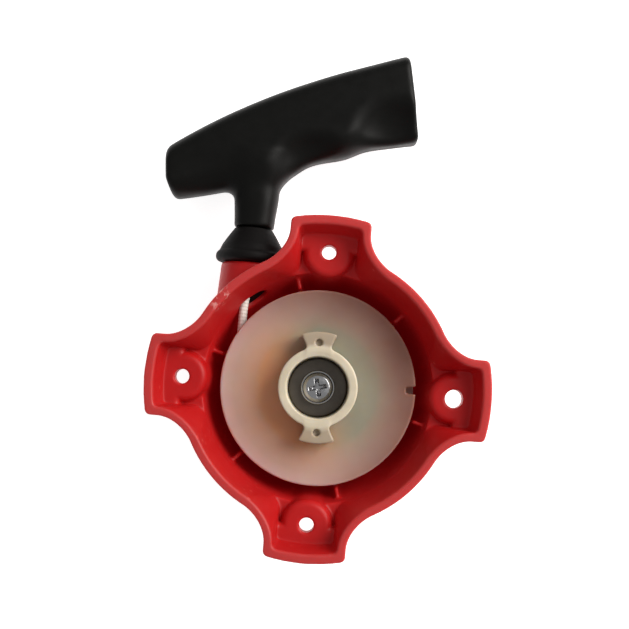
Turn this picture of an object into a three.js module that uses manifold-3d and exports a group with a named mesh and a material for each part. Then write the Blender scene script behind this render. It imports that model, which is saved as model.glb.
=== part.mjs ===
// Recoil starter for a small engine. Millimetres, +Z up.
// The origin is on the reel's axis, at the flat front face that the starter lies on.
// The open side, which goes against the engine, faces +Z. The rope leaves along +Y.
import * as THREE from 'three';
import { mergeVertices } from 'three/addons/utils/BufferGeometryUtils.js';
import Module from 'manifold-3d';

const wasm = await Module();
wasm.setup();

// ---- Driving dimensions -------------------------------------------------------------------

const GAP = 0.3;
const ROUND = 60;
const SMALL_ROUND = 32;

// Housing bowl
const WALL = 3;
const FLOOR_TOP = 3;
const RIM_Z = 35;
const BASE_RADIUS = 38;
const RIM_RADIUS = 46;
const FACE_RADIUS = 35;
const GROOVE_INNER = 25;
const GROOVE_OUTER = 29;
const GROOVE_DEPTH = 0.8;

// Lugs and their screw bosses
const LUG_TIP = 58;
const LUG_HALF = 13.7;
const LUG_FILLET = 8;
const LUG_CORNER = 2.6;
const LUG_DRAFT = 0.09;
const LUG_TUCK = 0.15;
const LUG_UNDER_Z = 19.5;
const POCKET_Z = 22;
const POCKET_FILLET = 3.5;
const TIP_LEAN = 2;
const BOLT_RADIUS = 46.5;
const BOLT_HOLES = [3.1, 2.5, 2.5, 2.5];
const PAD_RADIUS = 8.2;
const PAD_FOOT_RADIUS = 11.6;
const PAD_BOTTOM_Z = 8;
const PAD_TOP_Z = 26;
const SPOT_FACE = 5.8;

// Wall ribs
const RIB_ANGLES = [45, 105, 165, 225, 285, 345];
const RIB_WIDTH = 1.3;
const RIB_INNER = 34.6;
const RIB_OUTER = 41;
const RIB_TOP_Z = 19;

// Centre post and what is on it
const POST_RADIUS = 5.6;
const POST_TOP_Z = 20.6;
const INSERT_RADIUS = 3.6;
const INSERT_BORE = 2.6;
const INSERT_BOTTOM_Z = 8;
const SLEEVE_RADIUS = 6.7;
const SLEEVE_TOP_Z = 20.9;
const SCREW_SHANK = 2.2;
const SCREW_HEAD = 5.2;
const HEAD_HEIGHT = 2.8;
const CROSS_REACH = 3.1;
const CROSS_WIDTH = 1.1;
const CROSS_DEPTH = 1.6;
const WASHER_RADIUS = 10;
const WASHER_THICK = 1.2;
const LOCK_RADIUS = 5.8;
const LOCK_BORE = 2.7;
const LOCK_THICK = 0.8;
const SCREW_BOTTOM_Z = 10;
const SCREW_TURN = THREE.MathUtils.degToRad(14);

// Spring
const CASE_RADIUS = 31;
const SHEET = 0.8;
const CASE_TOP_Z = 10.6;
const SPRING_TURNS = 8;
const SPRING_STEPS = 14;
const SPRING_INNER = 12.4;
const SPRING_OUTER = 29.2;
const SPRING_THICK = 0.6;
const SPRING_BOTTOM_Z = 4.5;
const SPRING_HEIGHT = 5.7;
const SPRING_HOOK = 8.9;
const SPRING_TONGUE = 1.6;
const CASE_BORE = 7.7;
const COVER_BORE = 12.8;
const COVER_THICK = 0.6;

// Reel and drive hub
const REEL_TURN = THREE.MathUtils.degToRad(3);
const REEL_RADIUS = 33.6;
const REEL_BOTTOM_Z = 12.2;
const REEL_TOP_Z = 22.7;
const FLANGE = 1.8;
const DRUM_RADIUS = 19.5;
const REEL_BORE = 12.3;
const BOSS_BORE = 7.3;
const BOSS_RADIUS = 10.2;
const BOSS_BOTTOM_Z = 5;
const NOTCH_WIDTH = 2.4;
const NOTCH_DEPTH = 3.4;
const KNOT_ANGLE = THREE.MathUtils.degToRad(40);
const HUB_BORE = 7;
const HUB_ROUND = 48;
const HUB_RING = 13.4;
const HUB_CUP = 10.3;
const HUB_FLOOR_Z = 20;
const HUB_TOP_Z = 32;
const EAR_TIP = 18.6;
const EAR_NECK_HALF = 4.1;
const EAR_TIP_HALF = 6.2;
const EAR_HOLE_AT = 15.05;
const EAR_HOLE = 1.2;

// Rope, spout and eyelet
const ROPE_RADIUS = 1.5;
const ROPE_X = -27;
const ROPE_Z = (REEL_BOTTOM_Z + REEL_TOP_Z) / 2 - 0.1;
const ROPE_SIDES = 8;
const SPOUT_RADIUS = 10.2;
const SPOUT_END_Y = 40.9;
const SPOUT_BORE = 4.5;
const EYELET_BORE = 2.2;
const EYELET_FLANGE = 5.6;
const EYELET_SEAT_Y = 28.9;

// Handle
const GRIP_LEFT_HALF = 9.2;
const GRIP_RIGHT_HALF = 10.4;
const BAR_SQUARE = 0.72;
const BAR_SIDES = 24;
const BAR_STATIONS = 18;
const BAR_ENDS = [[2.6, 1.3], [1.1, 1], [0.3, 0.45], [0, 0]];
const GRIP_BACK_Z = 8;
const STEM_RADIUS = 6.7;
const SPIGOT_RADIUS = 4.5;
const BELL_BOTTOM_Y = 41.2;
const BELL_TOP_Y = 53.4;
const BELL_RADIUS = 12.2;
const KNOT_POCKET_Y = 78;
const KNOT_POCKET_SIZE = 12;
const KNOT_RADIUS = 3.8;

// ---- Materials ----------------------------------------------------------------------------

const finish = (color, roughness, metalness = 0) => () =>
  new THREE.MeshStandardMaterial({ color, roughness, metalness });
const redPlastic = finish(0xb3221f, 0.42);
const nylon = finish(0xb5a08c, 0.35);
const creamPlastic = finish(0xd8c9a8, 0.4);
const blackPlastic = finish(0x1b1b1a, 0.5);
const blackRubber = finish(0x151515, 0.75);
const steel = finish(0x9a9c9e, 0.3, 1);
const darkSteel = finish(0x55534e, 0.35, 1);
const springSteel = finish(0x4a4c52, 0.3, 1);
const brass = finish(0xb08d45, 0.35, 1);
const fibre = finish(0x7a4a32, 0.8);
const ropeFibre = finish(0xcfc2b4, 0.85);

// ---- Solids -------------------------------------------------------------------------------

// A geometry's position attribute and its faces, with vertices that lie together merged and
// faces that this leaves without area dropped.
function weld(geometry, tolerance) {
  const source = geometry.index ? geometry.toNonIndexed() : geometry;
  const bare = new THREE.BufferGeometry();
  bare.setAttribute('position', source.getAttribute('position'));
  const merged = mergeVertices(bare, tolerance);
  const faces = [];
  for (let i = 0; i < merged.index.count; i += 3) {
    const ids = [0, 1, 2].map((k) => merged.index.getX(i + k));
    if (new Set(ids).size === 3) faces.push(ids);
  }
  return { position: merged.getAttribute('position'), faces };
}

// A closed geometry as a solid, with its faces turned outwards.
function solid(geometry) {
  const { position, faces } = weld(geometry, 1e-4);
  const corners = [new THREE.Vector3(), new THREE.Vector3(), new THREE.Vector3()];
  let volume = 0;
  faces.forEach((ids) => {
    ids.forEach((id, k) => corners[k].fromBufferAttribute(position, id));
    volume += corners[0].dot(corners[1].cross(corners[2]));
  });
  if (volume < 0) faces.forEach((ids) => ids.reverse());
  return new wasm.Manifold(new wasm.Mesh({
    numProp: 3,
    vertProperties: new Float32Array(position.array),
    triVerts: new Uint32Array(faces.flat()),
  }));
}

// A solid back as a geometry.
function geometryOf(body) {
  const mesh = body.getMesh();
  const cut = new THREE.BufferGeometry();
  cut.setAttribute('position', new THREE.BufferAttribute(mesh.vertProperties, 3));
  cut.setIndex(new THREE.BufferAttribute(mesh.triVerts, 1));
  const { position, faces } = weld(cut, 2e-3);
  const geometry = new THREE.BufferGeometry();
  geometry.setAttribute('position', position);
  geometry.setIndex(faces.flat());
  return geometry.toNonIndexed();
}

const toPoints = (pairs) => pairs.map(([x, y]) => new THREE.Vector2(x, y));

// A profile of [radius, height] pairs, turned about Z. It starts and ends on the axis.
function turned(pairs, segments = ROUND) {
  return solid(new THREE.LatheGeometry(toPoints(pairs), segments).rotateX(Math.PI / 2));
}

// A closed ring profile turned about Z.
function ring(inner, outer, low, high, segments = ROUND) {
  return turned([[inner, low], [outer, low], [outer, high], [inner, high], [inner, low]], segments);
}

function disc(radius, low, high, segments = ROUND) {
  return turned([[0, low], [radius, low], [radius, high], [0, high]], segments);
}

// A profile of [radius, distance] pairs, turned about the rope's line, which runs along +Y.
function turnedOnRope(pairs, segments = SMALL_ROUND) {
  const lathe = new THREE.LatheGeometry(toPoints(pairs), segments);
  return solid(lathe.translate(ROPE_X, 0, ROPE_Z));
}

function rodOnRope(radius, from, to, segments = SMALL_ROUND) {
  return turnedOnRope([[0, from], [radius, from], [radius, to], [0, to]], segments);
}

// A flat outline of points, raised from low to high.
function raised(points, low, high) {
  const settings = { depth: high - low, bevelEnabled: false };
  return solid(new THREE.ExtrudeGeometry(new THREE.Shape(points), settings).translate(0, 0, low));
}

function block(size, centre) {
  return solid(new THREE.BoxGeometry(...size).translate(...centre));
}

// Points on an arc about (x, y), from one angle to another.
function arc(x, y, radius, from, to, steps) {
  const points = [];
  for (let i = 0; i <= steps; i += 1) {
    const a = from + ((to - from) * i) / steps;
    points.push(new THREE.Vector2(x + radius * Math.cos(a), y + radius * Math.sin(a)));
  }
  return points;
}

const turnPoints = (points, angle) => {
  const pivot = new THREE.Vector2();
  return points.map((p) => p.clone().rotateAround(pivot, angle));
};

function circle(x, y, radius, steps = 24) {
  return arc(x, y, radius, 0, 2 * Math.PI, steps).slice(0, -1);
}

function turnedAboutZ(body, angle) {
  return body.rotate([0, 0, THREE.MathUtils.radToDeg(angle)]);
}

const part = new THREE.Group();

function addPiece(name, body, material) {
  const mesh = new THREE.Mesh(geometryOf(body), material());
  mesh.name = name;
  part.add(mesh);
}

// ---- Housing ------------------------------------------------------------------------------

const wallSlope = (RIM_RADIUS - BASE_RADIUS) / (RIM_Z - FLOOR_TOP);
const wallRadius = (z) => BASE_RADIUS + (z - FLOOR_TOP) * wallSlope;

// The outline at height z: the bowl's circle with four lugs, filleted into it.
// inset moves it inwards by the same amount everywhere, as for the inside of the wall.
// lean moves only the tips inwards. The circle stays a little inside the bowl's wall, so that
// only the lugs stand out of it.
function lugOutline(z, inset, lean = 0, fillet = LUG_FILLET + inset) {
  const below = LUG_DRAFT * (RIM_Z - z);
  const body = wallRadius(z) - inset - LUG_TUCK;
  const tip = LUG_TIP - below - inset - lean;
  const half = LUG_HALF - below - inset;
  const corner = Math.max(LUG_CORNER - inset, 1);
  const filletY = half + fillet;
  const filletX = Math.sqrt((body + fillet) ** 2 - filletY ** 2);
  const meet = Math.atan2(filletY, filletX);
  const cornerX = Math.sqrt((tip - corner) ** 2 - (half - corner) ** 2);
  const tipAngle = Math.asin((half - corner) / (tip - corner));
  const lug = [
    ...arc(filletX, -filletY, fillet, Math.PI - meet, Math.PI / 2, 6),
    ...arc(cornerX, -(half - corner), corner, -Math.PI / 2, -tipAngle, 3),
    ...arc(0, 0, tip, -tipAngle, tipAngle, 6).slice(1, -1),
    ...arc(cornerX, half - corner, corner, tipAngle, Math.PI / 2, 3),
    ...arc(filletX, filletY, fillet, -Math.PI / 2, meet - Math.PI, 6),
    ...arc(0, 0, body, meet, Math.PI / 2 - meet, 3).slice(1, -1),
  ];
  return [0, 1, 2, 3].flatMap((i) => turnPoints(lug, (i * Math.PI) / 2));
}

// A solid between two outlines that have the same number of points, one above the other.
function lofted(lower, lowZ, upper, highZ) {
  const count = lower.length;
  const points = [
    ...lower.map((p) => [p.x, p.y, lowZ]),
    ...upper.map((p) => [p.x, p.y, highZ]),
  ];
  const corners = [];
  for (let i = 0; i < count; i += 1) {
    const next = (i + 1) % count;
    corners.push(i, next, count + next, i, count + next, count + i);
  }
  THREE.ShapeUtils.triangulateShape(lower, []).forEach(([a, b, c]) => corners.push(a, c, b));
  THREE.ShapeUtils.triangulateShape(upper, []).forEach((t) => corners.push(...t.map((k) => k + count)));
  const geometry = new THREE.BufferGeometry();
  const positions = new Float32Array(corners.flatMap((k) => points[k]));
  geometry.setAttribute('position', new THREE.BufferAttribute(positions, 3));
  return solid(geometry);
}

// A screw pad's outline: half round towards the reel, as wide as the lug towards its tip.
function padOutline(radius, angle) {
  const points = [
    ...arc(BOLT_RADIUS, 0, radius, Math.PI / 2, (3 * Math.PI) / 2, 12),
    new THREE.Vector2(BOLT_RADIUS, -LUG_HALF),
    new THREE.Vector2(LUG_TIP, -LUG_HALF),
    new THREE.Vector2(LUG_TIP, LUG_HALF),
    new THREE.Vector2(BOLT_RADIUS, LUG_HALF),
  ];
  return turnPoints(points, angle);
}

function makeHousing() {
  const outside = turned([
    [0, 0],
    [GROOVE_INNER, 0],
    [GROOVE_INNER + GROOVE_DEPTH, GROOVE_DEPTH],
    [GROOVE_OUTER - GROOVE_DEPTH, GROOVE_DEPTH],
    [GROOVE_OUTER, 0],
    [FACE_RADIUS, 0],
    [BASE_RADIUS - 1, 1],
    [BASE_RADIUS, FLOOR_TOP],
    [RIM_RADIUS, RIM_Z],
    [0, RIM_Z],
  ]);
  const lugs = lofted(lugOutline(LUG_UNDER_Z, 0), LUG_UNDER_Z, lugOutline(RIM_Z, 0), RIM_Z);
  const spout = rodOnRope(SPOUT_RADIUS, 18, SPOUT_END_Y);
  const envelope = outside.add(lugs).add(spout);

  const past = 1;
  const bowl = turned([
    [0, FLOOR_TOP],
    [BASE_RADIUS - WALL - 1, FLOOR_TOP],
    [BASE_RADIUS - WALL, FLOOR_TOP + 1],
    [wallRadius(RIM_Z + past) - WALL, RIM_Z + past],
    [0, RIM_Z + past],
  ]);
  const pockets = lofted(
    lugOutline(POCKET_Z, WALL, TIP_LEAN, POCKET_FILLET),
    POCKET_Z,
    lugOutline(RIM_Z + past, WALL),
    RIM_Z + past,
  );
  let housing = envelope.subtract(bowl).subtract(pockets);

  for (let i = 0; i < 4; i += 1) {
    const foot = padOutline(PAD_FOOT_RADIUS, (i * Math.PI) / 2);
    const top = padOutline(PAD_RADIUS, (i * Math.PI) / 2);
    housing = housing.add(lofted(foot, PAD_BOTTOM_Z, top, PAD_TOP_Z).intersect(outside.add(lugs)));
  }
  RIB_ANGLES.forEach((degrees) => {
    const length = RIB_OUTER - RIB_INNER;
    const middle = (RIB_OUTER + RIB_INNER) / 2;
    const height = RIB_TOP_Z - FLOOR_TOP + 1;
    const rib = block([length, RIB_WIDTH, height], [middle, 0, RIB_TOP_Z - height / 2]);
    const placed = turnedAboutZ(rib, THREE.MathUtils.degToRad(degrees));
    housing = housing.add(placed.intersect(outside));
  });
  housing = housing.add(disc(POST_RADIUS, FLOOR_TOP - 1, POST_TOP_Z, SMALL_ROUND));

  // The holes come last, so that they go through everything.
  BOLT_HOLES.forEach((radius, i) => {
    const angle = (i * Math.PI) / 2;
    const x = BOLT_RADIUS * Math.cos(angle);
    const y = BOLT_RADIUS * Math.sin(angle);
    housing = housing.subtract(raised(circle(x, y, radius), 0, RIM_Z + past));
    housing = housing.subtract(raised(circle(x, y, SPOT_FACE), LUG_UNDER_Z - 8, LUG_UNDER_Z));
  });
  const socket = disc(INSERT_RADIUS + GAP, INSERT_BOTTOM_Z - 1, POST_TOP_Z + past, SMALL_ROUND);
  housing = housing.subtract(socket);
  housing = housing.subtract(rodOnRope(SPOUT_BORE, 15, SPOUT_END_Y + past));
  housing = housing.subtract(rodOnRope(EYELET_FLANGE + GAP, 15, EYELET_SEAT_Y));
  return housing;
}

addPiece('housing', makeHousing(), redPlastic);

// ---- Post, spring and washers -------------------------------------------------------------

addPiece(
  'post_insert',
  ring(INSERT_BORE, INSERT_RADIUS, INSERT_BOTTOM_Z, POST_TOP_Z - GAP, SMALL_ROUND),
  brass,
);
addPiece(
  'axle_sleeve',
  ring(POST_RADIUS + GAP, SLEEVE_RADIUS, FLOOR_TOP + GAP, SLEEVE_TOP_Z, SMALL_ROUND),
  steel,
);

const caseBottom = FLOOR_TOP + GAP;
addPiece(
  'spring_case',
  turned([
    [CASE_BORE, caseBottom],
    [CASE_RADIUS, caseBottom],
    [CASE_RADIUS, CASE_TOP_Z],
    [CASE_RADIUS - SHEET, CASE_TOP_Z],
    [CASE_RADIUS - SHEET, caseBottom + SHEET],
    [CASE_BORE, caseBottom + SHEET],
    [CASE_BORE, caseBottom],
  ]),
  steel,
);
addPiece(
  'spring_cover',
  ring(COVER_BORE, CASE_RADIUS, CASE_TOP_Z + GAP, CASE_TOP_Z + GAP + COVER_THICK),
  steel,
);

// A flat strip wound in a spiral, with its inner end bent in to the reel's boss.
function makeSpring() {
  const steps = SPRING_TURNS * SPRING_STEPS;
  const line = [new THREE.Vector2(SPRING_HOOK, 0), new THREE.Vector2(SPRING_HOOK + SPRING_TONGUE, 0)];
  for (let i = 1; i <= steps; i += 1) {
    const t = i / steps;
    const radius = THREE.MathUtils.lerp(SPRING_INNER, SPRING_OUTER, t);
    const angle = SPRING_TURNS * 2 * Math.PI * t;
    line.push(new THREE.Vector2(radius * Math.cos(angle), radius * Math.sin(angle)));
  }
  const sides = [1, -1].map((side) =>
    line.map((p, i) => {
      const before = line[Math.max(i - 1, 0)];
      const after = line[Math.min(i + 1, line.length - 1)];
      const along = after.clone().sub(before).normalize();
      const across = new THREE.Vector2(-along.y, along.x);
      return p.clone().addScaledVector(across, (side * SPRING_THICK) / 2);
    }),
  );
  const outline = [...sides[0], ...sides[1].reverse()];
  const strip = raised(outline, SPRING_BOTTOM_Z, SPRING_BOTTOM_Z + SPRING_HEIGHT);
  return turnedAboutZ(strip, REEL_TURN);
}

addPiece('recoil_spring', makeSpring(), springSteel);

const fibreTop = SLEEVE_TOP_Z;
const washerBottom = SLEEVE_TOP_Z + GAP;
const washerTop = washerBottom + WASHER_THICK;
const lockTop = washerTop + GAP + LOCK_THICK;
const headBottom = lockTop + GAP;
const headTop = headBottom + HEAD_HEIGHT;
addPiece(
  'fibre_washer',
  ring(SLEEVE_RADIUS + GAP, WASHER_RADIUS - GAP, HUB_FLOOR_Z + GAP, fibreTop, SMALL_ROUND),
  fibre,
);
addPiece(
  'retaining_washer',
  ring(INSERT_BORE, WASHER_RADIUS, washerBottom, washerTop, 40),
  darkSteel,
);
addPiece(
  'lock_washer',
  ring(LOCK_BORE, LOCK_RADIUS, washerTop + GAP, lockTop, SMALL_ROUND),
  steel,
);

function makeScrew() {
  const screw = turned([
    [0, SCREW_BOTTOM_Z],
    [SCREW_SHANK - 0.6, SCREW_BOTTOM_Z],
    [SCREW_SHANK, SCREW_BOTTOM_Z + 0.6],
    [SCREW_SHANK, headBottom],
    [SCREW_HEAD - 0.2, headBottom],
    [SCREW_HEAD, headBottom + 0.4],
    [SCREW_HEAD - 0.1, headTop - 1.2],
    [SCREW_HEAD - 1, headTop - 0.4],
    [SCREW_HEAD - 2.6, headTop],
    [0, headTop],
  ], SMALL_ROUND);
  const slotA = block([2 * CROSS_REACH, CROSS_WIDTH, 2 * CROSS_DEPTH], [0, 0, headTop]);
  const slotB = block([CROSS_WIDTH, 2 * CROSS_REACH, 2 * CROSS_DEPTH], [0, 0, headTop]);
  return screw.subtract(turnedAboutZ(slotA.add(slotB), SCREW_TURN));
}

addPiece('centre_screw', makeScrew(), steel);

// ---- Reel and drive hub -------------------------------------------------------------------

function makeReel() {
  const coreInner = REEL_BORE + 1.6;
  const coreOuter = DRUM_RADIUS - 1.7;
  let reel = turned([
    [BOSS_BORE, BOSS_BOTTOM_Z],
    [BOSS_RADIUS, BOSS_BOTTOM_Z],
    [BOSS_RADIUS, REEL_BOTTOM_Z - 1],
    [REEL_BORE, REEL_BOTTOM_Z - 1],
    [REEL_BORE, REEL_BOTTOM_Z],
    [coreInner, REEL_BOTTOM_Z],
    [coreInner, REEL_TOP_Z - 3],
    [coreOuter, REEL_TOP_Z - 3],
    [coreOuter, REEL_BOTTOM_Z],
    [REEL_RADIUS - 0.4, REEL_BOTTOM_Z],
    [REEL_RADIUS, REEL_BOTTOM_Z + 0.4],
    [REEL_RADIUS, REEL_BOTTOM_Z + FLANGE - 0.4],
    [DRUM_RADIUS, REEL_BOTTOM_Z + FLANGE],
    [DRUM_RADIUS, REEL_TOP_Z - FLANGE],
    [REEL_RADIUS, REEL_TOP_Z - FLANGE + 0.4],
    [REEL_RADIUS, REEL_TOP_Z - 0.4],
    [REEL_RADIUS - 0.4, REEL_TOP_Z],
    [REEL_BORE, REEL_TOP_Z],
    [REEL_BORE, REEL_BOTTOM_Z + 0.1],
    [BOSS_BORE, REEL_BOTTOM_Z + 0.1],
    [BOSS_BORE, BOSS_BOTTOM_Z],
  ]);
  const notchAt = REEL_RADIUS - NOTCH_DEPTH + 2;
  const notchZ = REEL_TOP_Z - FLANGE / 2;
  reel = reel.subtract(block([4, NOTCH_WIDTH, FLANGE + 2], [notchAt + 0.6, 0, notchZ]));
  reel = reel.subtract(block([3, NOTCH_WIDTH, FLANGE + 2], [REEL_RADIUS, 0, notchZ]));
  const hookMiddle = (BOSS_BOTTOM_Z + REEL_BOTTOM_Z - 1) / 2;
  const hookHeight = REEL_BOTTOM_Z - BOSS_BOTTOM_Z - 1;
  reel = reel.subtract(block([3.2, 1.4, hookHeight + 0.2], [BOSS_RADIUS, 0, hookMiddle - 0.2]));
  const ropeHole = solid(new THREE.CylinderGeometry(1.8, 1.8, 4, 16)
    .rotateZ(Math.PI / 2)
    .translate(DRUM_RADIUS - 1, 0, ROPE_Z));
  reel = reel.subtract(turnedAboutZ(ropeHole, KNOT_ANGLE));
  return turnedAboutZ(reel, REEL_TURN);
}

addPiece('reel', makeReel(), nylon);

// One ear's outline, pointing along +Y: narrow at the ring and wide at the tip.
function earOutline() {
  const tipAngle = Math.asin(EAR_TIP_HALF / EAR_TIP);
  return [
    new THREE.Vector2(-EAR_NECK_HALF, HUB_CUP + 1),
    new THREE.Vector2(EAR_NECK_HALF, HUB_CUP + 1),
    new THREE.Vector2(EAR_NECK_HALF, HUB_RING + 0.6),
    ...arc(0, 0, EAR_TIP, Math.PI / 2 - tipAngle, Math.PI / 2 + tipAngle, 8),
    new THREE.Vector2(-EAR_NECK_HALF, HUB_RING + 0.6),
  ];
}

function makeHub() {
  let hub = turned([
    [HUB_BORE, REEL_BOTTOM_Z + 0.1 + GAP],
    [REEL_BORE - GAP, REEL_BOTTOM_Z + 0.1 + GAP],
    [REEL_BORE - GAP, REEL_TOP_Z + GAP],
    [HUB_RING, REEL_TOP_Z + GAP],
    [HUB_RING, HUB_TOP_Z - 0.4],
    [HUB_RING - 0.4, HUB_TOP_Z],
    [HUB_CUP + 0.3, HUB_TOP_Z],
    [HUB_CUP, HUB_TOP_Z - 0.3],
    [HUB_CUP, HUB_FLOOR_Z],
    [HUB_BORE, HUB_FLOOR_Z],
    [HUB_BORE, REEL_BOTTOM_Z + 0.1 + GAP],
  ], HUB_ROUND);
  for (let i = 0; i < 2; i += 1) {
    const ear = raised(earOutline(), REEL_TOP_Z + GAP, HUB_TOP_Z);
    const hole = raised(circle(0, EAR_HOLE_AT, EAR_HOLE, 16), HUB_TOP_Z - 5, HUB_TOP_Z + 1);
    hub = hub.add(turnedAboutZ(ear, i * Math.PI)).subtract(turnedAboutZ(hole, i * Math.PI));
  }
  const cup = disc(HUB_CUP, HUB_FLOOR_Z + 1, HUB_TOP_Z + 1, HUB_ROUND);
  return turnedAboutZ(hub.subtract(cup), REEL_TURN);
}

addPiece('drive_hub', makeHub(), creamPlastic);

// ---- Rope ---------------------------------------------------------------------------------

const coilRadius = -ROPE_X - ROPE_RADIUS - GAP;
const grooveLow = REEL_BOTTOM_Z + FLANGE + GAP;
const grooveHigh = REEL_TOP_Z - FLANGE - GAP;
addPiece('rope_coil', ring(DRUM_RADIUS + GAP, coilRadius, grooveLow, grooveHigh, 48), ropeFibre);

// The rope's section swept along a path.
function ropeAlong(path, steps) {
  const section = new THREE.Shape(circle(0, 0, ROPE_RADIUS, ROPE_SIDES));
  return solid(new THREE.ExtrudeGeometry(section, { steps, extrudePath: path, bevelEnabled: false }));
}

// The outer turn's last quarter, then the straight run out through the spout.
function makeRopeRun() {
  const points = arc(0, 0, -ROPE_X, (3 * Math.PI) / 2, Math.PI, 10);
  for (let y = 6; y <= 45.5; y += 6.5) points.push(new THREE.Vector2(ROPE_X, y));
  const curve = new THREE.CatmullRomCurve3(points.map((p) => new THREE.Vector3(p.x, p.y, ROPE_Z)));
  return ropeAlong(curve, 26);
}

addPiece('rope_run', makeRopeRun(), ropeFibre);

function makeReelKnot() {
  const at = DRUM_RADIUS - 1.7 - 1.95;
  const ball = solid(new THREE.SphereGeometry(1.7, 14, 10).translate(at, 0, ROPE_Z - 0.8));
  const tail = solid(new THREE.CylinderGeometry(1.3, 1.3, DRUM_RADIUS - at, 12)
    .rotateZ(Math.PI / 2)
    .translate((DRUM_RADIUS + at) / 2, 0, ROPE_Z));
  return turnedAboutZ(ball.add(tail), KNOT_ANGLE + REEL_TURN);
}

addPiece('reel_knot', makeReelKnot(), ropeFibre);

addPiece(
  'rope_eyelet',
  turnedOnRope([
    [EYELET_BORE, EYELET_SEAT_Y - GAP - 1],
    [EYELET_FLANGE, EYELET_SEAT_Y - GAP - 1],
    [EYELET_FLANGE, EYELET_SEAT_Y - GAP],
    [SPOUT_BORE - GAP, EYELET_SEAT_Y - GAP],
    [SPOUT_BORE - GAP, SPOUT_END_Y - 0.2],
    [EYELET_BORE, SPOUT_END_Y - 0.2],
    [EYELET_BORE, EYELET_SEAT_Y - GAP - 1],
  ]),
  blackPlastic,
);

const knotWasherY = KNOT_POCKET_Y + GAP;
const tailEnd = knotWasherY + 1.4;
addPiece('rope_tail', rodOnRope(ROPE_RADIUS, 46.3, tailEnd, ROPE_SIDES), ropeFibre);
addPiece(
  'knot_washer',
  turnedOnRope([
    [1.8, knotWasherY],
    [5, knotWasherY],
    [5, knotWasherY + 1],
    [1.8, knotWasherY + 1],
    [1.8, knotWasherY],
  ], 24),
  steel,
);
addPiece(
  'handle_knot',
  solid(new THREE.SphereGeometry(KNOT_RADIUS, 14, 10)
    .translate(ROPE_X, tailEnd + GAP + KNOT_RADIUS, ROPE_Z)),
  ropeFibre,
);

// ---- Handle -------------------------------------------------------------------------------

// The bar's upper and lower edges in side view. The lower one has two finger hollows.
const barTop = new THREE.SplineCurve(toPoints(
  [[-57.8, 80.2], [-41.3, 91], [-23.3, 100.6], [-5.2, 108.4], [9.9, 113.8], [21.9, 117.9]],
));
const barUnder = new THREE.SplineCurve(toPoints(
  [[-56, 61.8], [-45, 64.2], [-33, 67.4], [-19, 70.8], [-9, 77.6], [2.5, 81], [10, 84.5], [19, 86.5], [27.9, 88.3]],
));

// One section of the bar: a rounded box between the two edges. At an end it is drawn in by
// inset all round and pushed out along the bar.
function barSection(t, inset, push) {
  const top = barTop.getPoint(t);
  const under = barUnder.getPoint(t);
  const centre = top.clone().add(under).multiplyScalar(0.5);
  const up = top.clone().sub(under).normalize();
  const along = new THREE.Vector2(up.y, -up.x);
  centre.addScaledVector(along, push);
  const halfHeight = top.distanceTo(under) / 2 - inset;
  const halfDepth = THREE.MathUtils.lerp(GRIP_LEFT_HALF, GRIP_RIGHT_HALF, t) - inset;
  const section = [];
  for (let i = 0; i < BAR_SIDES; i += 1) {
    const a = (2 * Math.PI * i) / BAR_SIDES;
    const rise = halfHeight * Math.sign(Math.sin(a)) * Math.abs(Math.sin(a)) ** BAR_SQUARE;
    const depth = halfDepth * Math.sign(Math.cos(a)) * Math.abs(Math.cos(a)) ** BAR_SQUARE;
    section.push(new THREE.Vector3(centre.x + up.x * rise, centre.y + up.y * rise, ROPE_Z + depth));
  }
  return section;
}

function makeBar() {
  const rings = BAR_ENDS.map(([inset, push]) => barSection(0, inset, -push));
  for (let i = 1; i < BAR_STATIONS; i += 1) rings.push(barSection(i / BAR_STATIONS, 0, 0));
  BAR_ENDS.toReversed().forEach(([inset, push]) => rings.push(barSection(1, inset, push)));
  const corners = [];
  for (let j = 0; j < rings.length - 1; j += 1) {
    for (let i = 0; i < BAR_SIDES; i += 1) {
      const next = (i + 1) % BAR_SIDES;
      corners.push(rings[j][i], rings[j][next], rings[j + 1][next]);
      corners.push(rings[j][i], rings[j + 1][next], rings[j + 1][i]);
    }
  }
  const last = rings.at(-1);
  for (let i = 1; i < BAR_SIDES - 1; i += 1) {
    corners.push(rings[0][0], rings[0][i + 1], rings[0][i]);
    corners.push(last[0], last[i], last[i + 1]);
  }
  return solid(new THREE.BufferGeometry().setFromPoints(corners));
}

function makeGrip() {
  const bar = makeBar();
  const stem = turnedOnRope([
    [0, BELL_BOTTOM_Y + 1.4],
    [SPIGOT_RADIUS, BELL_BOTTOM_Y + 1.4],
    [SPIGOT_RADIUS, BELL_TOP_Y + GAP],
    [STEM_RADIUS - 0.2, BELL_TOP_Y + GAP],
    [STEM_RADIUS + 0.3, 62],
    [STEM_RADIUS + 0.9, 66.5],
    [STEM_RADIUS + 2.6, 71],
    [STEM_RADIUS + 2.6, 74],
    [0, 74],
  ]);
  const half = KNOT_POCKET_SIZE / 2;
  const pocketTop = ROPE_Z + 5.6;
  const pocketBottom = GRIP_BACK_Z - 3;
  const pocket = block(
    [KNOT_POCKET_SIZE, KNOT_POCKET_SIZE, pocketTop - pocketBottom],
    [ROPE_X, KNOT_POCKET_Y + half, (pocketTop + pocketBottom) / 2],
  );
  const bore = rodOnRope(EYELET_BORE, BELL_BOTTOM_Y, KNOT_POCKET_Y + 1, 16);
  return bar.add(stem).subtract(pocket).subtract(bore);
}

addPiece('handle_grip', makeGrip(), blackPlastic);

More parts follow.
